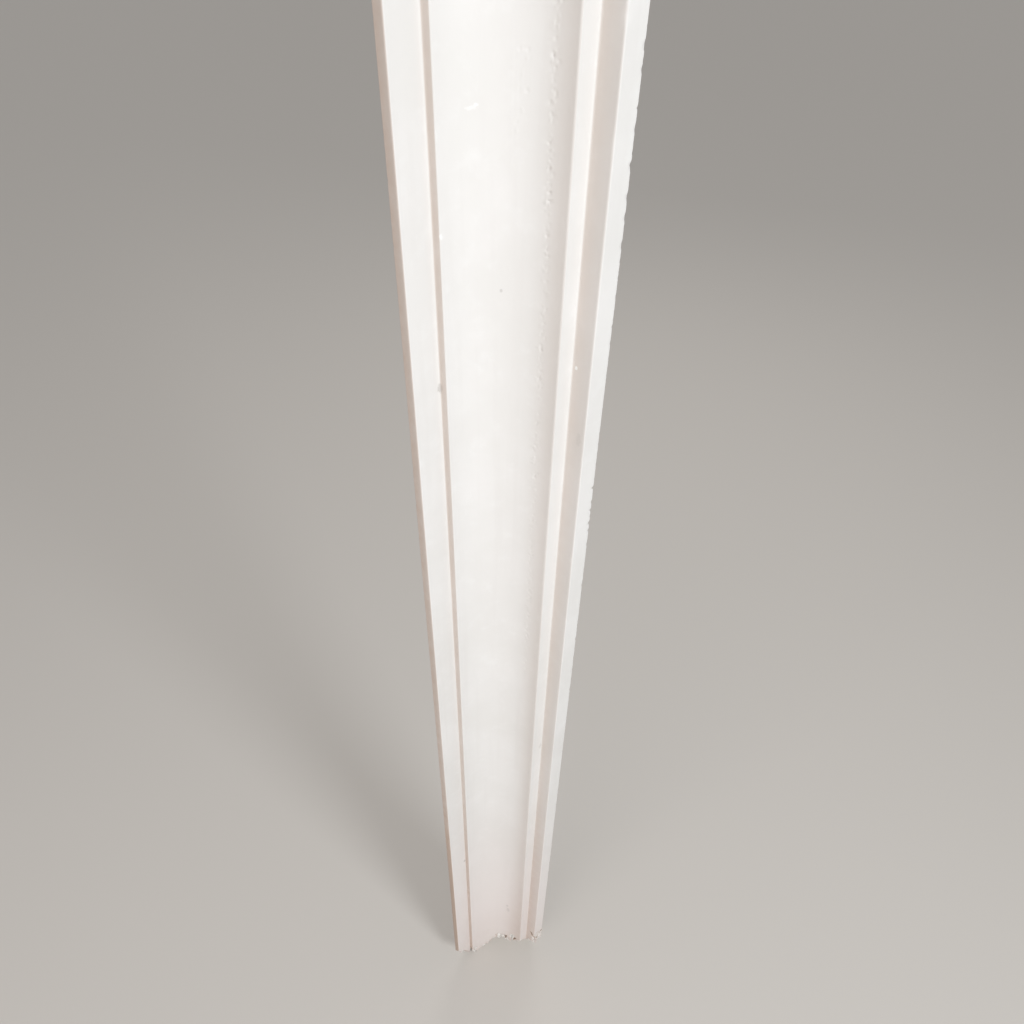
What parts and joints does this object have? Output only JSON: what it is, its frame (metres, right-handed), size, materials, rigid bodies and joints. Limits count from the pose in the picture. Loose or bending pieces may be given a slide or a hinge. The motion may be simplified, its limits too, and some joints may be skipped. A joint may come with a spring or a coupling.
{
  "type": "plaster cove cornice moulding",
  "caption": "Straight run of white plaster cornice for the corner of wall and ceiling: flat fillets either side of a quarter-round cove, square at the top, broken off ragged at the foot.",
  "frame": {"origin": "middle of the flat strip that beds on the wall, half way along the length", "axes": "+Z along the length, which stands upright as in the picture; when the moulding is fixed, +X leads out of the wall into the room and +Y leads up to the ceiling"},
  "size_m": [0.062, 0.081, 1],
  "materials": {
    "plaster": "smooth cast plaster, unpainted, off-white and matt, with small pits and nicked arrises, rough and whiter where it is broken"
  },
  "bodies": {
    "root": {"cove_moulding": "plaster"}
  },
  "joints": []
}
